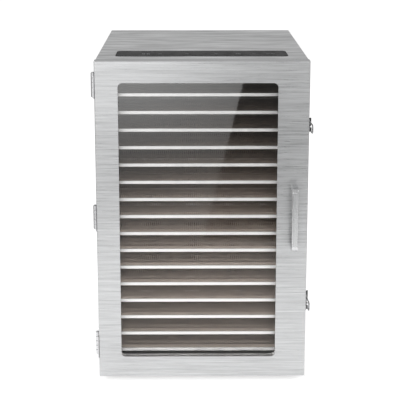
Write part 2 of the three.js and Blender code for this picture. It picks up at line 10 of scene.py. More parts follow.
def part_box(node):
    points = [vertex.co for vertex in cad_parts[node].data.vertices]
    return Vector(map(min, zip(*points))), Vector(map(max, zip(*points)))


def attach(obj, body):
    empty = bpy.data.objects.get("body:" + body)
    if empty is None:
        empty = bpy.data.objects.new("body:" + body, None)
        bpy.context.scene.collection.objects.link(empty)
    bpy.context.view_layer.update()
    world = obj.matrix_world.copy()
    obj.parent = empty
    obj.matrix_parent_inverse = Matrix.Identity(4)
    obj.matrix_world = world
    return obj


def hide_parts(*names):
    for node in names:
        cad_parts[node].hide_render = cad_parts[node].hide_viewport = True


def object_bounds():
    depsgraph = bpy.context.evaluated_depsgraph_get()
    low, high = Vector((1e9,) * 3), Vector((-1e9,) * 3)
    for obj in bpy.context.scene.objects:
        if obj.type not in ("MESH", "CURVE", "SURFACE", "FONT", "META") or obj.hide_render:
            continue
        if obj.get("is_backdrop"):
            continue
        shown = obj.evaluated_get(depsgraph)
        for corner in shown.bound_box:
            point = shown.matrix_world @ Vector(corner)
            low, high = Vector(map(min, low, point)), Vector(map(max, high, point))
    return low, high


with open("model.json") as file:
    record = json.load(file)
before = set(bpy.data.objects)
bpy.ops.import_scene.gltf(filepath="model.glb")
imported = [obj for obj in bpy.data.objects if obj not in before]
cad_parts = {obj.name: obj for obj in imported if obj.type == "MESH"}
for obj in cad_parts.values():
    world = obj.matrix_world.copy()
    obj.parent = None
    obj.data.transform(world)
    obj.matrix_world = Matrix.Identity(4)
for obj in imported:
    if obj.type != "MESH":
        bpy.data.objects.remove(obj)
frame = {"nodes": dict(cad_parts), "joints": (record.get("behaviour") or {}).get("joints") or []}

cad_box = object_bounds()
MM = 0.001
X, Y, Z = (1, 0, 0), (0, 1, 0), (0, 0, 1)
WHITE = (1, 1, 1, 1)
SHEET = 0.8 * MM
TRAYS = [name for name in sorted(frame["nodes"]) if name.startswith("tray_") and name[-2:].isdigit()]

# ---- places taken from the frame
DOOR_LO, DOOR_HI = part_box("door_panel")
DOOR = (DOOR_LO.x, DOOR_HI.x, DOOR_LO.z, DOOR_HI.z)
DOOR_CORNER = 1.2 * MM
FRONT_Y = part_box("front_frame")[0].y
SEAL_LO, SEAL_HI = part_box("window_seal")
SEAL_MARGIN = 11 * MM
WINDOW = (SEAL_LO.x + SEAL_MARGIN, SEAL_HI.x - SEAL_MARGIN, SEAL_LO.z + SEAL_MARGIN, SEAL_HI.z - SEAL_MARGIN)
WINDOW_RADIUS = 9 * MM


def joint_place(name):
    return next(joint for joint in frame["joints"] if joint["name"] == name)["pos_m"]


# ---- materials
NOISE_LOW, NOISE_HIGH = 0.3, 0.7  # most of a noise's values lie between these


class Paint:
    """A Principled material with a few ways to add pattern, all in object space."""

    def __init__(self, name, colour, roughness, metallic=0.0, **sockets):
        self.material = bpy.data.materials.new(name)
        self.material.use_nodes = True
        self.tree = self.material.node_tree
        self.shader = self.tree.nodes["Principled BSDF"]
        self.colour = colour
        values = {"Base_Color": (*colour, 1), "Roughness": roughness, "Metallic": metallic, **sockets}
        for name, value in values.items():
            self.shader.inputs[name.replace("_", " ")].default_value = value

    def node(self, kind, **values):
        """A new node. A value is linked to its input if it is another node's socket."""
        node = self.tree.nodes.new(kind)
        for name, value in values.items():
            if isinstance(value, bpy.types.NodeSocket):
                self.link(value, node.inputs[name])
            elif name in node.inputs:
                node.inputs[name].default_value = value
            else:
                setattr(node, name, value)
        return node

    def link(self, source, target):
        self.tree.links.new(source, target)

    def noise(self, scale, detail=3.0, rough=0.55, stretch=(1, 1, 1), offset=0.0):
        """Noise in object space; stretch makes it finer along the axes with larger numbers."""
        place = self.node("ShaderNodeTexCoord").outputs["Object"]
        mapping = self.node("ShaderNodeMapping", Vector=place, Scale=stretch, Location=(offset,) * 3)
        place = mapping.outputs["Vector"]
        noise = self.node("ShaderNodeTexNoise", Vector=place, Scale=scale, Detail=detail, Roughness=rough)
        return noise.outputs["Fac"]

    def ramp(self, factor, stops):
        ramp = self.node("ShaderNodeValToRGB", Fac=factor)
        for element, (position, value) in zip(ramp.color_ramp.elements, stops):
            element.position = position
            colour = value if isinstance(value, tuple) else (value, value, value)
            element.color = (*colour, 1)
        return ramp.outputs["Color"]

    def shade(self, factor, darkest, lightest, low=NOISE_LOW, high=NOISE_HIGH):
        """The base colour, from darkest to lightest times itself, by the factor."""
        dark = tuple(channel * darkest for channel in self.colour)
        light = tuple(min(1.0, channel * lightest) for channel in self.colour)
        self.link(self.ramp(factor, [(low, dark), (high, light)]), self.shader.inputs["Base Color"])

    def rough(self, factor, smoothest, roughest):
        stops = [(NOISE_LOW, smoothest), (NOISE_HIGH, roughest)]
        self.link(self.ramp(factor, stops), self.shader.inputs["Roughness"])

    def bump(self, factor, height):
        bump = self.node("ShaderNodeBump", Strength=1.0, Distance=height, Height=factor)
        self.link(bump.outputs["Normal"], self.shader.inputs["Normal"])

    def mixed(self, first, second):
        """The mean of two patterns."""
        return self.node("ShaderNodeMix", data_type="RGBA", Factor=0.5, A=first, B=second).outputs["Result"]

    def product(self, first, second, clamp=False):
        product = self.node("ShaderNodeMath", operation="MULTIPLY", use_clamp=clamp)
        self.link(first, product.inputs[0])
        self.link(second, product.inputs[1])
        return product.outputs["Value"]


def brushed(name, colour, along, roughness=0.30, dark=0.76, light=1.10, fineness=42.0):
    """Stainless sheet with its grain along one axis: fine scratches over broader streaks."""
    paint = Paint(name, colour, roughness, 1.0)
    across = [1.0 if axis == along else fineness for axis in "XYZ"]
    fine = paint.noise(16.0, 4.0, 0.65, stretch=across)
    broad = paint.noise(7.0, 3.0, 0.6, stretch=across, offset=3.7)
    paint.shade(paint.mixed(fine, broad), dark, light, 0.36, 0.64)
    paint.rough(fine, roughness - 0.05, roughness + 0.09)
    paint.bump(fine, 0.06 * MM)
    return paint.material


def plain_metal(name, colour, roughness, dark=0.9, light=1.05, scale=60.0, bump=0.03 * MM):
    """Metal with a faint cloudiness and a slightly uneven polish."""
    paint = Paint(name, colour, roughness, 1.0)
    cloud = paint.noise(scale, 4.0)
    paint.shade(cloud, dark, light)
    paint.rough(cloud, max(0.02, roughness - 0.04), roughness + 0.06)
    paint.bump(cloud, bump)
    return paint.material


def matt_metal(name, colour):
    """Wire dulled by washing: part metal, part a thin scattering film."""
    paint = Paint(name, colour, 0.45, 0.4)
    cloud = paint.noise(90.0, 4.0)
    paint.shade(cloud, 0.88, 1.08)
    paint.rough(cloud, 0.40, 0.52)
    paint.bump(cloud, 0.02 * MM)
    return paint.material


def moulded(name, colour, roughness, grain, height, **sockets):
    """Rubber or plastic with a fine moulded grain and faint scuffs."""
    paint = Paint(name, colour, roughness, 0.0, **sockets)
    fine = paint.noise(grain, 2.0)
    scuffs = paint.noise(45.0, 5.0)
    paint.shade(scuffs, 0.8, 1.3)
    paint.rough(scuffs, roughness - 0.08, roughness + 0.08)
    paint.bump(fine, height)
    return paint.material


def window_glass():
    """Clear float glass, mostly see-through.

    Only the faces that a ray enters by reflect, and they reflect more the higher they are: a painted
    reflection, stronger towards the top.
    """
    paint = Paint("window_glass", (0.90, 0.95, 0.93), 0.03, 0.0)
    clear = paint.node("ShaderNodeBsdfTransparent", Color=(0.985, 0.985, 0.98, 1))
    film = paint.ramp(paint.noise(9.0, 3.0), [(NOISE_LOW, 0.02), (NOISE_HIGH, 0.05)])
    mirror = paint.node("ShaderNodeBsdfGlossy", Color=WHITE, Roughness=film)
    edge = paint.node("ShaderNodeFresnel", IOR=1.5)
    place = paint.node("ShaderNodeTexCoord").outputs["Object"]
    height = paint.node("ShaderNodeSeparateXYZ", Vector=place).outputs["Z"]
    # painted reflection: the mirror's share grows with height, a brighter veil over the upper glass
    limits = {"From Min": 0.30, "From Max": 0.66, "To Min": 0.6, "To Max": 3.6}
    painted_reflection_by_height = paint.node("ShaderNodeMapRange", interpolation_type="SMOOTHSTEP", Value=height, **limits)
    side = paint.node("ShaderNodeNewGeometry")
    entering = paint.node("ShaderNodeMath", operation="SUBTRACT")
    entering.inputs[0].default_value = 1.0
    paint.link(side.outputs["Backfacing"], entering.inputs[1])
    painted_reflection_front = paint.product(painted_reflection_by_height.outputs["Result"], entering.outputs["Value"])
    share = paint.product(edge.outputs["Fac"], painted_reflection_front, clamp=True)
    mix = paint.node("ShaderNodeMixShader")
    paint.link(share, mix.inputs["Fac"])
    paint.link(clear.outputs["BSDF"], mix.inputs[1])
    paint.link(mirror.outputs["BSDF"], mix.inputs[2])
    paint.link(mix.outputs["Shader"], paint.tree.nodes["Material Output"].inputs["Surface"])
    return paint.material


STEEL, TOUCH, MARKS = (0.585, 0.59, 0.595), (0.0105, 0.011, 0.0115), (0.26, 0.27, 0.28)
M = {
    "front": brushed("brushed_front", STEEL, "X"),
    "side": brushed("brushed_side", STEEL, "Y"),
    # the top's steel is a lighter copy of STEEL: painted light on the top face, which catches more light than
    # the sides
    "top": brushed("brushed_top", (0.715, 0.72, 0.725), "X", 0.33, 0.50, 1.30, fineness=11.0),
    "back": brushed("brushed_back", STEEL, "X", roughness=0.36),
    # the chamber's steel is painted dark and brownish: painted shade of the closed chamber, warmed as painted
    # warm light
    "liner": plain_metal("liner_steel", (0.10, 0.07, 0.055), 0.42, 0.8, 1.08, 30.0),
    "inner": plain_metal("inner_sheet", (0.46, 0.455, 0.45), 0.36, 0.88, 1.06, 25.0),
    "polished": plain_metal("polished_steel", (0.78, 0.79, 0.80), 0.12, 0.96, 1.02, 80.0, 0.01 * MM),
    "latch": plain_metal("latch_steel", (0.36, 0.36, 0.365), 0.20, 0.88, 1.06, 110.0, 0.01 * MM),
    "bow": brushed("brushed_bow", (0.66, 0.665, 0.67), "Z", 0.24, 0.86, 1.06),
    "hinge": plain_metal("hinge_steel", (0.66, 0.66, 0.67), 0.24, 0.94, 1.04, 60.0, 0.01 * MM),
    # rims and screens are one steel in two copies: the screens' is darker and warmer, painted shade and
    # painted warm light inside the chamber
    "rim": plain_metal("tray_rim", (0.96, 0.96, 0.96), 0.40, 0.96, 1.04, 40.0, 0.01 * MM),
    "wire": matt_metal("tray_wire", (0.43, 0.366, 0.322)),
    "glass": window_glass(),
    "touch": moulded("black_touch_glass", TOUCH, 0.2, 300.0, 0.004 * MM, Specular_IOR_Level=0.004),
    "marks": moulded("panel_marks", MARKS, 0.5, 400.0, 0.01 * MM, Specular_IOR_Level=0.05),
    "rubber": moulded("black_rubber", (0.022, 0.022, 0.023), 0.72, 700.0, 0.10 * MM),
    "silicone": moulded("grey_silicone", (0.20, 0.20, 0.195), 0.6, 600.0, 0.06 * MM),
    "plastic": moulded("black_plastic", (0.02, 0.02, 0.021), 0.42, 1100.0, 0.06 * MM),
    # near-black grip, partly painted shade at the latch levers' tabs
    "grip": moulded("latch_grip", (0.012, 0.012, 0.013), 0.38, 800.0, 0.04 * MM),
    "board": moulded("circuit_board", (0.02, 0.13, 0.06), 0.4, 500.0, 0.04 * MM),
    "motor": plain_metal("motor_steel", (0.20, 0.205, 0.21), 0.42, 0.85, 1.1, 50.0),
    "heater": plain_metal("heater_sheath", (0.26, 0.21, 0.18), 0.45, 0.7, 1.3, 35.0),
}


# ---- pieces
SMOOTH = 40.0  # degrees; an edge that turns more than this stays sharp


def mesh_of(bm, name):
    mesh = bpy.data.meshes.new(name)
    bm.to_mesh(mesh)
    bm.free()
    return mesh


def put(name, data):
    """A new object in the scene."""
    thing = bpy.data.objects.new(name, data)
    bpy.context.collection.objects.link(thing)
    return thing


def finish_mesh(mesh, material, smooth):
    """Shades a mesh smooth but for its sharp edges, and gives it its material."""
    mesh.polygons.foreach_set("use_smooth", [True] * len(mesh.polygons))
    mesh.set_sharp_from_angle(angle=math.radians(smooth))
    mesh.materials.append(M[material])


def finish_piece(name, bm, material, body, replaces=(), smooth=SMOOTH):
    """Turns a bmesh into a piece that rides on a body."""
    bmesh.ops.remove_doubles(bm, verts=bm.verts, dist=1e-7)
    bmesh.ops.recalc_face_normals(bm, faces=bm.faces)
    mesh = mesh_of(bm, name)
    finish_mesh(mesh, material, smooth)
    return stand(name, mesh, body, replaces)


def stand(name, mesh, body, replaces):
    """Puts a mesh in the scene as a piece that rides on a body."""
    piece = put(name, mesh)
    weighted = piece.modifiers.new("flat_faces_first", "WEIGHTED_NORMAL")
    weighted.keep_sharp = True
    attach(piece, body)
    if replaces:
        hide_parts(*replaces)
    return piece


def dressed(node, material, body, slot):
    """A CAD sheet part with its flat faces joined and its edges softened."""
    bm = bmesh.new()
    bm.from_mesh(frame["nodes"][node].data)
    bmesh.ops.remove_doubles(bm, verts=bm.verts, dist=1e-6)
    bmesh.ops.dissolve_limit(bm, angle_limit=math.radians(1.0), verts=bm.verts, edges=bm.edges)
    for face in bm.faces:
        face.material_index = 0
    mesh = mesh_of(bm, node + "_formed")
    finish_mesh(mesh, material, SMOOTH)
    piece = put(mesh.name, mesh)
    bevel = piece.modifiers.new("edges", "BEVEL")
    bevel.width = 0.25 * MM
    bevel.segments = 2
    bevel.limit_method = "ANGLE"
    bevel.angle_limit = math.radians(35)
    bevel.harden_normals = True
    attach(piece, body)
    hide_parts(node)


def repaint(node, material):
    """A CAD node that stays as it is, with a better finish."""
    mesh = frame["nodes"][node].data
    mesh.materials.clear()
    mesh.materials.append(M[material])


# ---- shapes
def turns(count, shift=0.0):
    """Angles spread evenly round a full turn; shift moves them on, in steps."""
    return [2 * math.pi * (k + shift) / count for k in range(count)]


def rect_loop(rect, radius, level, plane="XZ", steps=6):
    """A rounded rectangle's points in a plane, which lies at level on the axis that it doesn't name."""
    low_a, high_a, low_b, high_b = rect
    radius = max(radius, 0.02 * MM)
    corners = (
        (high_a - radius, low_b + radius, -90),
        (high_a - radius, high_b - radius, 0),
        (low_a + radius, high_b - radius, 90),
        (low_a + radius, low_b + radius, 180),
    )
    points = []
    for a, b, start in corners:
        for step in range(steps + 1):
            angle = math.radians(start + 90 * step / steps)
            u = a + radius * math.cos(angle)
            v = b + radius * math.sin(angle)
            points.append(Vector({"XZ": (u, level, v), "XY": (u, v, level), "YZ": (level, u, v)}[plane]))
    return points


def grown(rect, by):
    return (rect[0] - by, rect[1] + by, rect[2] - by, rect[3] + by)


def grown_loops(rect, radius, section, plane="XZ", steps=6):
    """Loops of a rounded rectangle: section gives how far each one is grown, and its level."""
    return [rect_loop(grown(rect, grow), radius + grow, level, plane, steps) for grow, level in section]


def bridge(bm, first, second):
    """Quads between two rings of equal length."""
    for index in range(len(first)):
        after = (index + 1) % len(first)
        bm.faces.new((first[index], first[after], second[after], second[index]))


def skin(bm, loops, closed=False):
    """Joins loops of equal length; an open skin gets a cap on each end."""
    rings = [[bm.verts.new(point) for point in loop] for loop in loops]
    for first, second in zip(rings, rings[1:]):
        bridge(bm, first, second)
    if closed:
        bridge(bm, rings[-1], rings[0])
    else:
        bm.faces.new(rings[0])
        bm.faces.new(rings[-1])


def slab(bm, rect, radius, low, high, edge, plane="XZ", steps=6):
    """A plate with rounded corners and softened edges."""
    section = [(-edge, low), (-edge * 0.3, low + edge * 0.3), (0, low + edge)]
    section += [(0, high - edge), (-edge * 0.3, high - edge * 0.3), (-edge, high)]
    skin(bm, grown_loops(rect, radius, section, plane, steps))


def lathe(bm, profile, centre, axis, segments, shape=None):
    """Turns (radius, height) pairs about an axis through centre. shape changes a radius by angle and loop."""
    basis = Vector(axis).to_track_quat("Z", "Y").to_matrix()
    loops = []
    for place, (radius, height) in enumerate(profile):
        loop = []
        for angle in turns(segments):
            reach = shape(place, angle, radius) if shape else radius
            point = Vector((reach * math.cos(angle), reach * math.sin(angle), height))
            loop.append(Vector(centre) + basis @ point)
        loops.append(loop)
    skin(bm, loops)


def rounded_rod(bm, centre, axis, radius, length, edge, segments=24):
    """A rod with softened ends, centred on a point."""
    half = length / 2
    profile = [(radius - edge, -half), (radius, -half + edge), (radius, half - edge), (radius - edge, half)]
    lathe(bm, profile, centre, axis, segments)


def rounded_path(corners, radius, steps):
    """Points of straight runs whose inner corners are rounded with arcs."""
    points = [corners[0]]
    for before, corner, after in zip(corners, corners[1:], corners[2:]):
        back = (before - corner).normalized()
        ahead = (after - corner).normalized()
        half = math.acos(max(-1.0, min(1.0, back.dot(ahead)))) / 2
        centre = corner + (back + ahead).normalized() * radius / math.sin(half)
        start = corner + back * radius / math.tan(half) - centre
        end = corner + ahead * radius / math.tan(half) - centre
        for step in range(steps + 1):
            points.append(centre + start.slerp(end, step / steps) * radius)
    points.append(corners[-1])
    return points


def sweep(bm, path, section, side):
    """Carries a section, (across, out) pairs, along a path. across starts along side."""
    loops = []
    side = Vector(side)
    for index, point in enumerate(path):
        behind = path[max(index - 1, 0)]
        ahead = path[min(index + 1, len(path) - 1)]
        tangent = (ahead - behind).normalized()
        side = (side - tangent * side.dot(tangent)).normalized()
        out = tangent.cross(side)
        loops.append([point + side * across + out * height for across, height in section])
    skin(bm, loops)


def oval_section(half_width, half_height, sides):
    return [(half_width * math.cos(angle), half_height * math.sin(angle)) for angle in turns(sides)]


def bar_section(width, thickness, radius, steps=4):
    rect = (-width / 2, width / 2, -thickness / 2, thickness / 2)
    return [(point.x, point.z) for point in rect_loop(rect, radius, 0.0, steps=steps)]


def box(bm, low, high):
    """A block between two corners."""
    size = Vector(high) - Vector(low)
    middle = (Vector(high) + Vector(low)) / 2
    for vert in bmesh.ops.create_cube(bm, size=1.0)["verts"]:
        vert.co = Vector([vert.co[axis] * size[axis] + middle[axis] for axis in range(3)])


def screw(bm, centre, axis, radius, rise):
    """A domed screw head with a cross recess."""
    dome = [(1, -0.2 * MM), (1, 0.15 * rise), (0.93, 0.5 * rise), (0.8, 0.8 * rise), (0.66, 0.95 * rise)]
    recess = [(0.6, rise), (0.55, rise - 0.6 * rise)]
    arm, notch = 0.22, 0.42  # half an arm's angle, and the radius between two arms

    def cross(place, angle, reach):
        if place < len(dome):
            return reach
        turn = abs((angle + math.pi / 4) % (math.pi / 2) - math.pi / 4)
        return reach * (1.0 if turn < arm else notch)

    lathe(bm, [(radius * share, height) for share, height in dome + recess], centre, axis, 32, cross)


# ---- door
def build_door():
    build_door_skin()
    build_door_liner()
    repaint("door_glass", "glass")
    repaint("window_seal", "rubber")
    build_gasket()
    build_handle()


def build_door_skin():
    """The outer sheet, folded back at its edges, with a small lip round the window."""
    front, back = DOOR_LO.y, DOOR_HI.y
    fold, lip = 1.8 * MM, 0.5 * MM
    outline = [(DOOR, DOOR_CORNER, back)]
    for angle in [math.radians(15 * step) for step in range(7)]:
        inset, drop = fold * (1 - math.cos(angle)), fold * (1 - math.sin(angle))
        outline.append((grown(DOOR, -inset), DOOR_CORNER, front + drop))
    inner = grown(DOOR, -SHEET)
    outline += [
        (grown(WINDOW, lip), WINDOW_RADIUS + lip, front),
        (grown(WINDOW, 0.3 * lip), WINDOW_RADIUS, front + 0.3 * lip),
        (WINDOW, WINDOW_RADIUS, front + lip),
        (WINDOW, WINDOW_RADIUS, front + SHEET),
        (grown(inner, -fold), DOOR_CORNER, front + SHEET),
        (inner, DOOR_CORNER, front + SHEET + fold),
        (inner, DOOR_CORNER, back),
    ]
    bm = bmesh.new()
    skin(bm, [rect_loop(*place) for place in outline], closed=True)
    finish_piece("door_skin", bm, "front", "door", ["door_panel"])


def build_door_liner():
    """The inner sheet, whose throat runs in to the glass with a rolled edge."""
    back = DOOR_HI.y
    glass_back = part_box("door_glass")[1].y + 0.3 * MM
    throat, roll = 3 * MM, 2.0 * MM
    outside, soft = throat + SHEET, 0.3 * roll
    rim = grown(DOOR, -(SHEET + 0.3 * MM))
    loops = [rect_loop(rim, DOOR_CORNER, back), rect_loop(rim, DOOR_CORNER, back - SHEET)]
    for grow, wider, y in (
        (outside + roll, throat + roll, back - SHEET),
        (outside + soft, throat, back - SHEET - soft),
        (outside, throat, back - SHEET - roll),
        (outside, throat, glass_back),
        (throat, throat, glass_back),
        (throat, throat, back - roll),
        (throat + soft, throat, back - soft),
        (throat + roll, throat + roll, back),
    ):
        loops.append(rect_loop(grown(WINDOW, grow), WINDOW_RADIUS + wider, y))
    bm = bmesh.new()
    skin(bm, loops, closed=True)
    finish_piece("door_liner", bm, "inner", "door", ["door_inner_frame"])


def build_gasket():
    """A soft D-section seal on the back of the door."""
    low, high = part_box("door_gasket")
    wide, corner = 8 * MM, 8 * MM
    thick = high.y - low.y
    section = [(-wide / 2, low.y), (wide / 2, low.y)]
    for angle in [math.pi * step / 8 for step in range(9)]:
        section.append((wide / 2 * math.cos(angle), low.y + thick * (0.25 + 0.75 * math.sin(angle))))
    middle = grown((low.x, high.x, low.z, high.z), -wide / 2)
    bm = bmesh.new()
    skin(bm, grown_loops(middle, corner, section), closed=True)
    finish_piece("door_seal_profile", bm, "silicone", "door", ["door_gasket"])


def build_handle():
    """A bow handle bent from flat bar, and the screws on the door's back: its own two and the liner's six."""
    low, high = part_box("door_handle")
    x = (low.x + high.x) / 2
    width, thick = high.x - low.x, 6 * MM
    rise = low.y + thick / 2
    ends = (low.z + thick / 2, high.z - thick / 2)
    wall = DOOR_LO.y
    corners = [Vector((x, y, z)) for y, z in
               ((wall, ends[0]), (rise, ends[0]), (rise, ends[1]), (wall, ends[1]))]
    bm = bmesh.new()
    sweep(bm, rounded_path(corners, 9 * MM, 12), bar_section(width, thick, 1.6 * MM), X)
    finish_piece("handle_bow", bm, "bow", "door", ["door_handle"])

    head = 0.25 * MM
    bm = bmesh.new()
    for z in ends:
        screw(bm, (x, DOOR_HI.y, z), Y, 3.2 * MM, head)
    inset = 6.5 * MM
    for z in (DOOR_LO.z + inset, DOOR_HI.z - inset):
        for share in (0.1, 0.5, 0.9):
            place = DOOR_LO.x + share * (DOOR_HI.x - DOOR_LO.x)
            screw(bm, (place, DOOR_HI.y, z), Y, 2.4 * MM, head)
    finish_piece("door_screws", bm, "hinge", "door")


# ---- hinges
def build_hinge(index):
    """A five-knuckle butt hinge: each leaf follows its CAD leaf's box and has three countersunk screws."""
    pin_x, pin_y, _ = joint_place("door_hinge")
    door_low, door_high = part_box(f"hinge_leaf_door_{index}")
    middle = (door_low.z + door_high.z) / 2
    length, thick, barrel, edge = 50 * MM, 1.5 * MM, 4 * MM, 0.35 * MM
    knuckle, gap, inside = length / 5, 0.3 * MM, 0.05 * MM
    for part, body, direction in (("cabinet", "root", 1), ("door", "door", -1)):
        node = f"hinge_leaf_{part}_{index}"
        inner_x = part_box(node)[1].x
        outer_x = inner_x - thick
        far = pin_y + direction * (barrel + 24.3 * MM)
        near = pin_y + direction * (barrel + gap)
        rect = (min(near, far), max(near, far), middle - length / 2, middle + length / 2)
        levels = ((outer_x, edge), (outer_x + edge, 0.0), (inner_x, 0.0))
        bm = bmesh.new()
        skin(bm, [rect_loop(grown(rect, -inset), 3 * MM, x, "YZ") for x, inset in levels])
        for step in range(0 if part == "cabinet" else 1, 5, 2):
            z = middle - length / 2 + (step + 0.5) * knuckle
            rounded_rod(bm, (pin_x, pin_y, z), Z, barrel, knuckle - gap, edge, 32)
            half = knuckle / 2 - gap
            web = [pin_y + direction * (barrel - 1.7 * MM), pin_y + direction * (barrel - 0.2 * MM)]
            box(bm, (pin_x, min(web), z - half), (inner_x, max(web), z + half))
            tongue = [web[0] + direction * 0.2 * MM, near + direction * MM]
            box(bm, (outer_x + inside, min(tongue), z - half + inside),
                (inner_x - inside, max(tongue), z + half - inside))
        if part == "cabinet":
            for side in (-1, 1):
                end = middle + side * (length / 2 + 0.6 * MM)
                rounded_rod(bm, (pin_x, pin_y, end), Z, 2.6 * MM, 1.6 * MM, 0.6 * MM)
        finish_piece(f"hinge_{part}_{index}", bm, "hinge", body, [node])
        bm = bmesh.new()
        for z, reach in ((-17 * MM, 16 * MM), (0, 9 * MM), (17 * MM, 16 * MM)):
            y = pin_y + direction * (barrel + reach)
            screw(bm, (outer_x, y, middle + z), (-1, 0, 0), 2.6 * MM, 0.35 * MM)
        finish_piece(f"hinge_screws_{part}_{index}", bm, "polished", body)


# ---- toggle latches
LATCH_SHEET = 1.5 * MM
BAIL_PIN = 14  # from the lever's pivot to the bail's, in millimetres


def build_latch(place):
    pivot = Vector(joint_place(f"latch_{place}_lever"))

    def at(x, y, z=0):
        """A point given in millimetres from the lever's pivot."""
        return pivot + Vector((x, y, z)) * MM

    build_latch_base(place, pivot, at)
    build_latch_lever(place, pivot, at)
    build_latch_bail(place, at)
    build_latch_hook(place, pivot)


def side_plate(bm, rect, inner_x, radius):
    """A plate on the cabinet's or the door's side, with its outer edge softened."""
    outer_x, edge = inner_x + LATCH_SHEET, 0.4 * MM
    levels = ((inner_x, 0.0), (outer_x - edge, 0.0), (outer_x - edge * 0.3, edge * 0.3), (outer_x, edge))
    skin(bm, [rect_loop(grown(rect, -inset), radius, x, "YZ") for x, inset in levels])


def two_plates(bm, outline, inner, outer):
    """Two plates of one outline, from inner to outer millimetres on either side of the latch's middle."""
    for side in (-1, 1):
        skin(bm, [[point + Vector((0, 0, side * z * MM)) for point in outline] for z in (inner, outer)])


def build_latch_base(place, pivot, at):
    """A base plate with two ears, and its two rivets."""
    low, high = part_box(f"latch_base_{place}")
    bm = bmesh.new()
    side_plate(bm, (low.y, high.y, low.z, high.z), low.x, 4 * MM)
    ear, tip = [at(-6.5, -5), at(-6.5, 5)], 4.4
    for angle in [math.radians(90 - 15 * step) for step in range(13)]:
        ear.append(at(tip * math.cos(angle), tip * math.sin(angle)))
    two_plates(bm, ear, 4.5, 6.0)
    finish_piece(f"latch_plate_{place}", bm, "latch", "root", [f"latch_base_{place}"])
    rivet = [(2.9 * MM, -0.3 * MM), (2.9 * MM, 0.15 * MM), (2.3 * MM, 0.8 * MM), (1.2 * MM, 1.15 * MM)]
    bm = bmesh.new()
    for y in (-11.5, 38):
        lathe(bm, rivet, (low.x + LATCH_SHEET, pivot.y + y * MM, pivot.z), X, 24)
    finish_piece(f"latch_rivets_{place}", bm, "hinge", "root")


def build_latch_lever(place, pivot, at):
    """A folded channel that widens into a finger tab with a near-black grip, and its two pins. The grip is
    partly painted shade: its darkness also stands in for the shade at the tab.
    """
    body = f"latch_lever_{place}"
    narrow, wide, widens_at, slope = 3.9, 9.0, 19, 1.7
    loops = []
    for point in rounded_path([at(1.4, -2.5), at(1.4, 22), at(0.8, 37), at(7.4, 44.2)], 5 * MM, 6):
        beyond = max(0.0, (point.y - pivot.y) / MM - widens_at)
        half = min(wide, narrow + beyond * slope)
        section = bar_section(2 * half * MM, 1.0 * MM, 0.45 * MM, 3)
        loops.append([point + Vector((height, 0, across)) for across, height in section])
    bm = bmesh.new()
    skin(bm, loops)
    two_plates(bm, [at(-1.8, -1.5), at(-1.8, 19), at(1.2, 21), at(1.2, -2.6)], 3.1, 4.0)
    rounded_rod(bm, at(0, 0), Z, 1.5 * MM, 13.4 * MM, 0.4 * MM)
    rounded_rod(bm, at(0, BAIL_PIN), Z, 1.45 * MM, 20.6 * MM, 0.4 * MM)
    finish_piece(f"latch_handle_{place}", bm, "latch", body, [f"latch_lever_{place}"])
    # the near-black grip also stands in for the shade at the tab: partly painted shade
    grip = rounded_path([at(1.2, 25.5), at(0.8, 37), at(7.2, 44.0)], 5 * MM, 6)
    bm = bmesh.new()
    sweep(bm, grip, bar_section(18.0 * MM, 2.6 * MM, 1.2 * MM), Z)
    finish_piece(f"latch_grip_{place}", bm, "grip", body)


def build_latch_bail(place, at):
    """The wire bail, with an eye round each end of the lever's cross pin."""
    reach, spread, flare, eye, wire = -40, 8.5, 3, 2.35, 1.4 * MM
    pin, bar = (0, BAIL_PIN), (flare, reach)
    corners = [at(*pin, spread), at(*bar, spread), at(*bar, -spread), at(*pin, -spread)]
    bm = bmesh.new()
    sweep(bm, rounded_path(corners, 5 * MM, 8), oval_section(wire, wire, 14), X)
    for z in (-spread, spread):
        loop = [at(eye * math.cos(a), BAIL_PIN + eye * math.sin(a), z) for a in turns(24)]
        around_wire(bm, loop, 0.75 * MM, 1.3 * MM)
    body = f"latch_bail_{place}"
    finish_piece(f"latch_wire_{place}", bm, "latch", body, [f"latch_bail_{place}"])


def around_wire(bm, loop, radial, axial):
    """A closed ring about the Z axis with an oval section."""
    centre = sum(loop, Vector()) / len(loop)
    rings = []
    for point in loop:
        out = (point - centre).normalized()
        section = oval_section(radial, axial, 10)
        rings.append([point + out * across + Vector((0, 0, up)) for across, up in section])
    skin(bm, rings, closed=True)


def build_latch_hook(place, pivot):
    """The hook on the door's edge, for the bail."""
    low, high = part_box(f"latch_keeper_{place}")
    bm = bmesh.new()
    side_plate(bm, (low.y + 1 * MM, high.y, low.z, high.z), low.x, 3 * MM)
    foot, tip = low.x + 1 * MM, high.x - 0.5 * MM
    rise = ((foot, -35), (foot + 1.4 * MM, -39.5), (tip - 0.6 * MM, -40.6), (tip - 0.2 * MM, -42.2))
    corners = [Vector((x, pivot.y + y * MM, 0)) for x, y in rise]
    path = [point + Vector((0, 0, pivot.z)) for point in rounded_path(corners, 1.6 * MM, 5)]
    sweep(bm, path, bar_section(9 * MM, 1.2 * MM, 0.5 * MM, 3), Z)
    finish_piece(f"latch_hook_{place}", bm, "latch", "door", [f"latch_keeper_{place}"])


# ---- cabinet
def build_cabinet():
    inside = ("base_pan", "tray_rack_left", "tray_rack_right", "plenum_wall", "motor_bracket")
    for material, slot, nodes in (
        ("side", "brushed_stainless", ("side_panel_left", "side_panel_right")),
        ("top", "brushed_stainless", ("top_panel",)),
        ("back", "brushed_stainless", ("back_panel",)),
        ("front", "brushed_stainless", ("front_frame",)),
        # the chamber's parts carry the liner's painted shade
        ("liner", "liner_steel", inside),
        ("plastic", "black_plastic", ("power_inlet",)),
    ):
        for node in nodes:
            dressed(node, material, "root", slot)
    repaint("ceiling_liner", "liner")
    repaint("control_board", "board")
    build_control_panel()
    build_baffle()
    build_feet()
    build_back_screws()


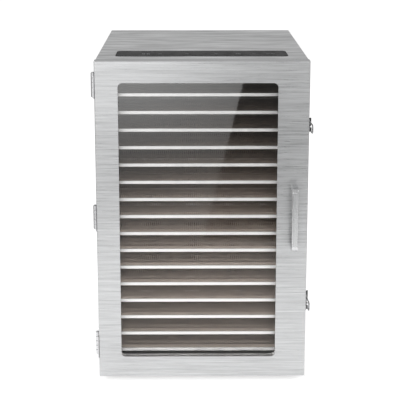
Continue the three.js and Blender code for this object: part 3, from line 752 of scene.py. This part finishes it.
def build_control_panel():
    """The touch glass, and generic marks that stand just clear of its top face."""
    low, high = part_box("control_panel_glass")
    bm = bmesh.new()
    slab(bm, (low.x, high.x, low.y, high.y), 10 * MM, low.z, high.z - 0.07 * MM, 0.6 * MM, "XY", 8)
    finish_piece("touch_glass", bm, "touch", "root", ["control_panel_glass"])

    thick, level = 0.08 * MM, high.z - 0.09 * MM
    middle = (low.x + high.x) / 2
    row = low.y + 0.42 * (high.y - low.y)
    bm = bmesh.new()

    # places and sizes are in millimetres from the middle of the row
    def bar(x, y, wide, deep):
        x, y = middle + x * MM, row + y * MM
        wide, deep = wide * MM, deep * MM
        box(bm, (x - wide / 2, y - deep / 2, level), (x + wide / 2, y + deep / 2, level + thick))

    def circle(x, outer, inner):
        disc(bm, (middle + x * MM, row, level), outer * MM, inner * MM, thick)

    for x in (-121, -111):
        for side in (-1, 1):
            bar(x + side * 2.25, 0, 1.1, 9)
        for place in (-1, 0, 1):
            bar(x, place * 4.5, 4.5, 1.1)
    for x in (-87, -31, 30, 108, 138, 148):
        circle(x, 3.6, 2.9)
    for x in (-87, -31, 30):
        bar(x, 0, 2.8, 0.7)
    for x in (-87, 30):
        bar(x, 0, 0.7, 2.8)
    circle(76, 5.2, 3.9)
    bar(76, 3.4, 1.2, 5)
    finish_piece("panel_marks", bm, "marks", "root")


def disc(bm, centre, outer, inner, thick):
    """A flat ring."""
    loops = []
    for radius, rise in ((outer, 0), (outer, thick), (inner, thick), (inner, 0)):
        loops.append([Vector(centre) + Vector((x, y, rise)) for x, y in oval_section(radius, radius, 24)])
    skin(bm, loops, closed=True)


def moved_out(value, inner, outer):
    """A coordinate at either inner limit goes to the outer one, and any other stays."""
    for here, there in zip(inner, outer):
        if abs(value - here) < 1e-6:
            return there
    return value


def build_baffle():
    """The chamber's rear wall, perforated all over with round holes in square cells."""
    low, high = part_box("air_baffle")
    pitch, border, radius, sides = 14 * MM, 12 * MM, 3.1 * MM, 16
    columns = int((high.x - low.x - 2 * border) / pitch)
    rows = int((high.z - low.z - 2 * border) / pitch)
    left = (low.x + high.x - columns * pitch) / 2
    bottom = (low.z + high.z - rows * pitch) / 2
    faces = (low.y, high.y)
    bm = bmesh.new()
    grid = {}
    for level, y in enumerate(faces):
        for column in range(columns + 1):
            for row in range(rows + 1):
                grid[level, column, row] = bm.verts.new((left + column * pitch, y, bottom + row * pitch))
    # turned so that a quarter of the circle faces each side of its cell
    circle = [(radius * math.cos(a), radius * math.sin(a)) for a in turns(sides, 2.5)]
    for column in range(columns):
        for row in range(rows):
            x, z = left + (column + 0.5) * pitch, bottom + (row + 0.5) * pitch
            hole = [[bm.verts.new((x + across, y, z + up)) for across, up in circle] for y in faces]
            for level in (0, 1):
                outer = [grid[level, column + a, row + b] for a, b in ((1, 1), (0, 1), (0, 0), (1, 0))]
                for quarter in range(4):
                    arc = [hole[level][(quarter * 4 + k - 1) % sides] for k in range(5)]
                    bm.faces.new([outer[quarter], outer[(quarter + 1) % 4], *arc[:0:-1]])
                    bm.faces.new([outer[quarter], arc[1], arc[0]])
            bridge(bm, *hole)
    # the plain border round the cells
    rims = []
    for level, y in enumerate(faces):
        edge = [grid[level, c, 0] for c in range(columns)]
        edge += [grid[level, columns, r] for r in range(rows)]
        edge += [grid[level, c, rows] for c in range(columns, 0, -1)]
        edge += [grid[level, 0, r] for r in range(rows, 0, -1)]
        rim = []
        for vert in edge:
            x = moved_out(vert.co.x, (left, left + columns * pitch), (low.x, high.x))
            z = moved_out(vert.co.z, (bottom, bottom + rows * pitch), (low.z, high.z))
            rim.append(bm.verts.new((x, y, z)))
        bridge(bm, edge, rim)
        rims.append(rim)
    bridge(bm, *rims)
    finish_piece("perforated_wall", bm, "liner", "root", ["air_baffle"], 30)


def build_feet():
    for corner in ("front_left", "front_right", "rear_left", "rear_right"):
        low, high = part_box(f"foot_{corner}")
        centre = ((low.x + high.x) / 2, (low.y + high.y) / 2, low.z)
        wide = (high.x - low.x) / 2
        tall = high.z - low.z
        profile = [(0.30 * wide, 1.5 * MM), (0.34 * wide, 0.2 * MM), (0.38 * wide, 0), (0.74 * wide, 0)]
        profile += [(0.82 * wide, 0.6 * MM), (0.87 * wide, 1.8 * MM), (0.93 * wide, tall * 0.5)]
        profile += [(0.985 * wide, tall - 1.6 * MM), (0.98 * wide, tall - 0.5 * MM), (0.94 * wide, tall)]
        bm = bmesh.new()
        lathe(bm, profile, centre, Z, 40)
        finish_piece(f"rubber_{corner}", bm, "rubber", "root", [f"foot_{corner}"])


def build_back_screws():
    """Screws down both sides of the back panel, and one on each side of the mains inlet."""
    rise = 0.75 * MM
    bm = bmesh.new()
    for node, inset, shares, radius in (
        ("back_panel", 9 * MM, (0.03, 0.27, 0.5, 0.73, 0.97), 3.2 * MM),
        ("power_inlet", 5 * MM, (0.5,), 2.2 * MM),
    ):
        low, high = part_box(node)
        for x in (low.x + inset, high.x - inset):
            for share in shares:
                screw(bm, (x, high.y - rise, low.z + share * (high.z - low.z)), Y, radius, rise)
    finish_piece("back_screws", bm, "hinge", "root")


# ---- fan, motor, heater, probe
def box_front(low, high):
    """The middle of a box's front face."""
    return Vector(((low.x + high.x) / 2, low.y, (low.z + high.z) / 2))


def build_fan():
    """An axial fan: a hub on its shaft, and six cambered blades that twist towards their tips."""
    low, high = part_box("fan_wheel")
    centre = Vector(joint_place("fan_spin"))
    radius = (high.x - low.x) / 2
    hub, half, shaft = 24 * MM, 11 * MM, 4 * MM
    shaft_end = high.y - centre.y
    bm = bmesh.new()
    lathe(bm, [(6 * MM, -half), (hub - 4 * MM, -half), (hub - 1 * MM, -half + 1.2 * MM),
               (hub, -half + 4 * MM), (hub, half - 1 * MM), (hub - 1 * MM, half)], centre, Y, 48)
    lathe(bm, [(shaft, half - 1 * MM), (shaft, shaft_end - 0.8 * MM), (shaft - 0.8 * MM, shaft_end)],
          centre, Y, 24)
    lathe(bm, [(shaft - 1 * MM, -half - 2.2 * MM), (shaft, -half - 1.6 * MM), (shaft, -half + 1 * MM)],
          centre, Y, 24)
    stations = 9
    for blade in turns(6):
        around = Matrix.Rotation(blade, 3, "Y")
        loops = []
        for step in range(stations):
            share = step / (stations - 1)
            reach = hub - 2 * MM + share * (radius - hub + 1.5 * MM)
            belly = math.sin(math.pi * min(1.0, 0.25 + 0.6 * share))
            chord = (30 + 24 * belly) * MM * (1 - 0.25 * share ** 6)
            pitch = math.radians(26 - 10 * share)
            loop = []
            for angle in turns(16):
                along = chord / 2 * math.cos(angle)
                camber = 2.2 * MM * (1 - (2 * along / chord) ** 2)
                through = 0.7 * MM * math.sin(angle) + camber
                x = along * math.cos(pitch) - through * math.sin(pitch)
                y = along * math.sin(pitch) + through * math.cos(pitch) - 1.2 * MM
                loop.append(centre + around @ Vector((x, y, reach)))
            loops.append(loop)
        skin(bm, loops)
    # the impeller takes the tray screens' darker, warmer steel, with its painted shade
    finish_piece("fan_impeller", bm, "wire", "fan", ["fan_wheel"], 50)


def build_motor():
    """The motor's can, and the stack of its stator's sheets."""
    low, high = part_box("fan_motor")
    long, can = high.y - low.y, (high.x - low.x) / 2
    bm = bmesh.new()
    lathe(bm, [(5 * MM, 0), (can * 0.55, 0), (can * 0.62, 2 * MM), (can - 3 * MM, 3 * MM), (can, 6 * MM),
               (can, long - 6 * MM), (can - 3 * MM, long - 2 * MM), (can * 0.5, long)],
          box_front(low, high), Y, 48)
    finish_piece("motor_can", bm, "motor", "root", ["fan_motor"])
    sheets, pitch, thick = 12, 1.35 * MM, 1.25 * MM
    rect = (low.x + 6 * MM, high.x - 6 * MM, low.z, high.z)
    bm = bmesh.new()
    for sheet in range(sheets):
        y = low.y + 8 * MM + sheet * pitch
        slab(bm, rect, 3 * MM, y, y + thick, 0.2 * MM, steps=3)
    finish_piece("motor_stator", bm, "heater", "root")


def build_heater():
    """A ring of sheathed heater tube, whose two ends run straight back."""
    low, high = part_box("heater_element")
    tube, lead, steps = 4 * MM, 16 * MM, 72
    ring_y = low.y + tube
    centre = Vector(((low.x + high.x) / 2, ring_y, (low.z + high.z) / 2))
    reach = (high.x - low.x) / 2 - tube
    bottom = centre.z - reach
    gap = math.asin(lead / reach)
    path = [Vector((lead, y, bottom)) for y in (high.y, ring_y + 10 * MM, ring_y + 4 * MM)]
    for step in range(steps + 1):
        angle = gap + (2 * math.pi - 2 * gap) * step / steps
        path.append(centre + Vector((reach * math.sin(angle), 0, -reach * math.cos(angle))))
    path += [Vector((-lead, y, bottom)) for y in (ring_y + 4 * MM, high.y)]
    bm = bmesh.new()
    sweep(bm, path, oval_section(tube * 0.9, tube * 0.9, 14), Z)
    finish_piece("heater_tube", bm, "heater", "root", ["heater_element"], 60)


def build_probe():
    low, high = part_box("temperature_probe")
    long, tube, flange = high.y - low.y, 3 * MM, 6 * MM
    bm = bmesh.new()
    lathe(bm, [(0.8 * MM, 0), (2.2 * MM, 0.6 * MM), (tube, 2.4 * MM), (tube, long - 3.2 * MM),
               (flange, long - 3.0 * MM), (flange, long)], box_front(low, high), Y, 24)
    finish_piece("probe_tube", bm, "polished", "root", ["temperature_probe"])


# ---- trays
def tray_rim(low, high):
    """A flat-bar rim with softened edges."""
    half, soft = 1 * MM, 0.5 * MM
    rect = (low.x + half, high.x - half, low.y + half, high.y - half)
    section = [(-half + soft, low.z), (half - soft, low.z), (half, low.z + soft), (half, high.z - soft)]
    section += [(half - soft, high.z), (-half + soft, high.z), (-half, high.z - soft), (-half, low.z + soft)]
    bm = bmesh.new()
    skin(bm, grown_loops(rect, 5 * MM, section, "XY", 4), closed=True)
    return bm


def tray_screen(low, high):
    """A screen whose front-to-back wires weave over and under the straight cross wires."""
    count, rim = 90, 2 * MM
    half_width, half_height, crimp = 0.55 * MM, 0.16 * MM, 0.2 * MM
    level = high.z - half_height - crimp
    left, right = low.x + rim / 2, high.x - rim / 2
    front, back = low.y + rim / 2, high.y - rim / 2
    pitch_x, pitch_y = (high.x - low.x - rim) / count, (high.y - low.y - rim) / count
    bm = bmesh.new()
    for index in range(1, count):
        y = front + index * pitch_y
        path = [Vector((left, y, level)), Vector((right, y, level))]
        sweep(bm, path, oval_section(half_width, half_height, 6), Y)
        x = left + index * pitch_x
        path = [Vector((x, front, level))]
        for crossing in range(1, count):
            lift = crimp if (index + crossing) % 2 else -crimp
            path.append(Vector((x, front + crossing * pitch_y, level + lift)))
        path.append(Vector((x, back, level)))
        sweep(bm, path, oval_section(half_width, half_height, 4), X)
    return bm


def build_trays():
    """The first tray is built, and the others are copies of it at their own nodes' levels."""
    top = TRAYS[0]
    low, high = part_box(top)
    first = [
        finish_piece("rim_" + top, tray_rim(low, high), "rim", top, [top]),
        finish_piece("screen_" + top, tray_screen(low, high), "wire", top, smooth=60),
    ]
    for name in TRAYS[1:]:
        for piece, part, stands_for in zip(first, ("rim_", "screen_"), ([name], [])):
            mesh = piece.data.copy()
            mesh.transform(Matrix.Translation((0, 0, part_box(name)[0].z - low.z)))
            stand(part + name, mesh, name, stands_for)
    build_drip_pan()


def build_drip_pan():
    """A shallow pan with a rolled rim. Its section runs up the outside and down the inside."""
    low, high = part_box("drip_tray")
    thick, roll = 0.8 * MM, 1.3 * MM
    soft = 0.3 * roll
    section = [
        (-roll - 4 * MM, low.z), (-roll - MM, low.z + MM), (-roll, low.z + 4 * MM),
        (-roll, high.z - 2 * roll), (-soft, high.z - 2 * roll + soft), (0, high.z - roll),
        (-soft, high.z - soft), (-roll, high.z), (-1.7 * roll, high.z - soft), (-roll - thick, high.z - roll),
        (-roll - thick, low.z + 4 * MM), (-roll - 1.6 * MM, low.z + 1.8 * MM),
        (-roll - 5 * MM, low.z + thick),
    ]
    bm = bmesh.new()
    skin(bm, grown_loops((low.x, high.x, low.y, high.y), 8 * MM, section, "XY"))
    finish_piece("drip_pan", bm, "inner", "drip_tray", ["drip_tray"])


# ---- stage
FELT = (0.02, 0.02, 0.02)


def studio_piece(name, bm, material, unseen_by=()):
    """A floor, backdrop or card; unseen_by names the kinds of ray that pass it by."""
    mesh = mesh_of(bm, name)
    mesh.materials.append(material)
    thing = put(name, mesh)
    for rays in unseen_by:
        setattr(thing, "visible_" + rays, False)
    thing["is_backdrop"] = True


def card_paint(name, strength):
    paint = Paint(name, FELT, 0.9, Emission_Color=WHITE, Emission_Strength=strength)
    paint.shade(paint.noise(40.0, 2.0), 0.7, 1.2)
    return paint.material


def build_stage():
    """A pale floor, and a white surround that only the camera sees."""
    paint = Paint("pale_floor", (0.86, 0.86, 0.86), 0.7, Emission_Color=WHITE, Emission_Strength=0.56)
    paint.shade(paint.noise(1.5, 2.0), 0.985, 1.0)
    bm = bmesh.new()
    bmesh.ops.create_grid(bm, x_segments=1, y_segments=1, size=60)
    studio_piece("floor", bm, paint.material)
    bm = bmesh.new()
    bmesh.ops.create_icosphere(bm, subdivisions=4, radius=30)
    unseen_by = ("glossy", "diffuse", "shadow", "volume_scatter")
    studio_piece("surround", bm, card_paint("white_surround", 1.1), unseen_by)


def reflected(x, z, away):
    """Where the main camera's ray to a point of the door goes on to, a distance in front of it."""
    camera = bpy.context.scene.camera.location
    share = away / (DOOR_LO.y - camera.y)
    return Vector((x + (x - camera.x) * share, DOOR_LO.y - away, z + (z - camera.z) * share))


def add_card(name, bm, material):
    """A studio card that only reflections see."""
    studio_piece(name, bm, material, ("camera", "shadow", "diffuse", "transmission"))


def smooth_step(value, low, high):
    share = max(0.0, min(1.0, (value - low) / (high - low)))
    return share * share * (3 - 2 * share)


def card_tone(x, z):
    """How bright the graded card is where it is mirrored at a point of the door."""
    brightest = 1.28
    left = brightest - 0.70 * smooth_step(z, 0.31, 0.42) + 0.86 * smooth_step(z, 0.44, 0.66)
    right = brightest - 0.88 * smooth_step(z, 0.35, 0.46) + 0.44 * smooth_step(z, 0.44, 0.66)
    return left + (right - left) * smooth_step(x, -0.16, 0.16)


def build_cards():
    """What the steel and glass reflect: a graded card, a dark wedge, and grey cards beside the cabinet."""
    away = 0.95
    columns, rows, width = 40, 36, 0.95
    bottom, top = DOOR_LO.z + 0.285, DOOR_HI.z + 0.2
    bm = bmesh.new()
    tones = bm.verts.layers.float.new("tone")
    grid = []
    for row in range(rows + 1):
        z = bottom + row / rows * (top - bottom)
        for column in range(columns + 1):
            x = (column / columns - 0.5) * width
            vert = bm.verts.new(reflected(x, z, away))
            vert[tones] = card_tone(x, z)
            grid.append(vert)
    for row in range(rows):
        for column in range(columns):
            corner = row * (columns + 1) + column
            above = corner + columns + 1
            bm.faces.new((grid[corner], grid[corner + 1], grid[above + 1], grid[above]))
    paint = Paint("graded_card", FELT, 0.9, Emission_Color=WHITE)
    tone = paint.node("ShaderNodeAttribute", attribute_name="tone")
    paint.link(tone.outputs["Fac"], paint.shader.inputs["Emission Strength"])
    add_card("graded_card", bm, paint.material)

    bm = bmesh.new()
    wedge = [(0.088, 0.66), (0.002, 0.31), (0.168, 0.31), (0.168, 0.66)]
    bm.faces.new([bm.verts.new(reflected(x, z, away - 0.02)) for x, z in wedge])
    add_card("dark_wedge", bm, card_paint("wedge_felt", 0.05))

    for name, x in (("left", -0.95), ("right", 0.95)):
        bm = bmesh.new()
        corners = [(-1.1, 0.0), (1.5, 0.0), (1.5, 0.9), (-1.1, 0.9)]
        bm.faces.new([bm.verts.new((x, y, z)) for y, z in corners])
        add_card("side_card_" + name, bm, card_paint("side_felt", 0.30))


def add_light(name, place, target, size, power):
    data = bpy.data.lights.new(name, "AREA")
    data.shape = "RECTANGLE"
    data.size, data.size_y = size
    data.energy = power
    lamp = put(name, data)
    lamp.location = place
    lamp.rotation_euler = (Vector(target) - Vector(place)).to_track_quat("-Z", "Y").to_euler()
    return lamp


def light_only(lamp, name):
    """The lamp reaches one piece, and no other piece or view sees it."""
    lit = bpy.data.collections.new("lit_" + name)
    lit.objects.link(bpy.data.objects[name])
    lamp.light_linking.receiver_collection = lit
    lamp.visible_camera = False


def build_world():
    """Grey from every side, a little lighter above."""
    world = bpy.data.worlds.new("studio")
    bpy.context.scene.world = world
    world.use_nodes = True
    tree = world.node_tree
    background = tree.nodes["Background"]
    place = tree.nodes.new("ShaderNodeTexCoord")
    split = tree.nodes.new("ShaderNodeSeparateXYZ")
    ramp = tree.nodes.new("ShaderNodeValToRGB")
    for element, grey in zip(ramp.color_ramp.elements, (0.50, 0.62)):
        element.color = (grey, grey, grey, 1)
    tree.links.new(place.outputs["Generated"], split.inputs["Vector"])
    tree.links.new(split.outputs["Z"], ramp.inputs["Fac"])
    tree.links.new(ramp.outputs["Color"], background.inputs["Color"])
    background.inputs["Strength"].default_value = 1.0


def build_light():
    """Two softboxes, and long narrow lamps for the lower trays' screens and the lowest rim alone."""
    build_world()
    add_light("left_softbox", (-2.6, -2.0, 1.7), (0, 0, 0.35), (1.2, 1.8), 40)
    add_light("right_softbox", (2.8, -0.6, 1.9), (0, 0, 0.35), (1.0, 1.6), 20)
    strip = (1.0, 0.25)
    for name in TRAYS:
        power = 125 * (1 - smooth_step(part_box(name)[0].z, 0.22, 0.55))
        if power > 0:
            lamp = add_light("lamp_" + name, (0.1, -1.55, 2.05), (0.05, -0.2, 0.3), strip, power)
            light_only(lamp, "screen_" + name)
    light_only(add_light("rim_lamp", (-0.1, -1.8, 0.40), (0, -0.25, 0.06), strip, 20), "rim_" + TRAYS[-1])


def build_camera():
    """A long lens above the door's middle, tilted down and turned a little to the right."""
    sensor = 36.0
    focal_length, picture = 1219, 400  # both in pixels
    data = bpy.data.cameras.new("camera")
    data.sensor_width = sensor
    data.lens = sensor * focal_length / picture
    data.shift_y = -0.08
    camera = put("camera", data)
    camera.location = (-0.022, FRONT_Y - 2.450, 1.016)
    camera.rotation_euler = (math.radians(90 - 12.83), 0, math.radians(-0.42))
    bpy.context.scene.camera = camera


build_camera()
build_door()
for hinge in (1, 2, 3):
    build_hinge(hinge)
for latch in ("lower", "upper"):
    build_latch(latch)
build_cabinet()
build_fan()
build_motor()
build_heater()
build_probe()
build_trays()
build_stage()
build_cards()
build_light()
bpy.context.scene.view_settings.view_transform = "Standard"

boxes = {"cad": cad_box, "visual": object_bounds()}
{name: [[round(c, 5) for c in corner] for corner in pair] for name, pair in boxes.items()}
